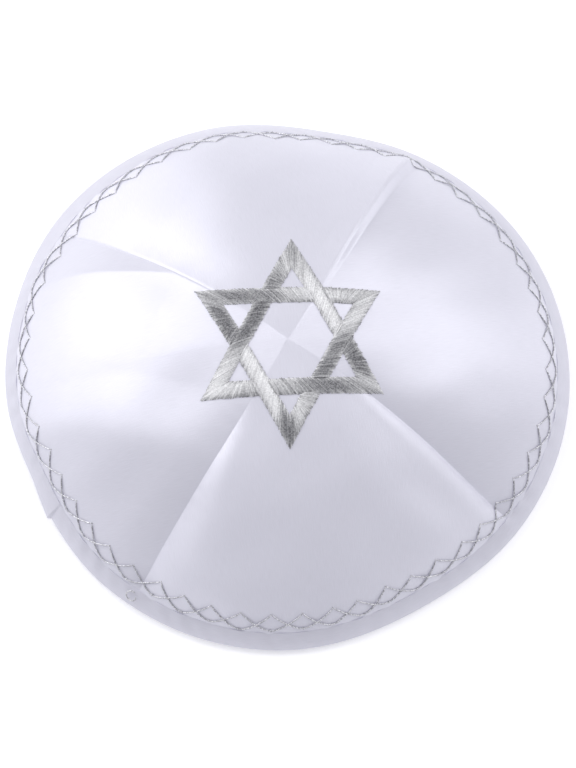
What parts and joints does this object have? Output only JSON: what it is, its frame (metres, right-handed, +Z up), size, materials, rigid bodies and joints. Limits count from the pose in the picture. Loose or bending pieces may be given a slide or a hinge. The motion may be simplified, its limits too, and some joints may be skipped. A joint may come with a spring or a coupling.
{
  "type": "satin kippah skullcap",
  "caption": "Shallow round satin skullcap of sewn panels with a folded edge tape, a stitched border and an embroidered star on the crown.",
  "frame": {"origin": "on the surface that the cap rests on, under the centre of its plan outline", "axes": "+Z up through the crown, +X to the right and -Y towards a viewer who faces the upright star"},
  "size_m": [0.176, 0.1722, 0.0476],
  "materials": {
    "satin": "glossy lavender-white polyester satin",
    "satin_tape": "folded lavender-white satin tape, softly creased",
    "silver_thread": "silver metallic embroidery thread"
  },
  "bodies": {
    "root": {"panel_back": "satin", "panel_left": "satin", "panel_front": "satin", "panel_right": "satin", "edge_tape": "satin_tape", "tape_end": "satin_tape", "star_arm_1": "silver_thread", "star_arm_2": "silver_thread", "star_arm_3": "silver_thread", "star_arm_4": "silver_thread", "star_arm_5": "silver_thread", "star_arm_6": "silver_thread"}
  },
  "joints": []
}
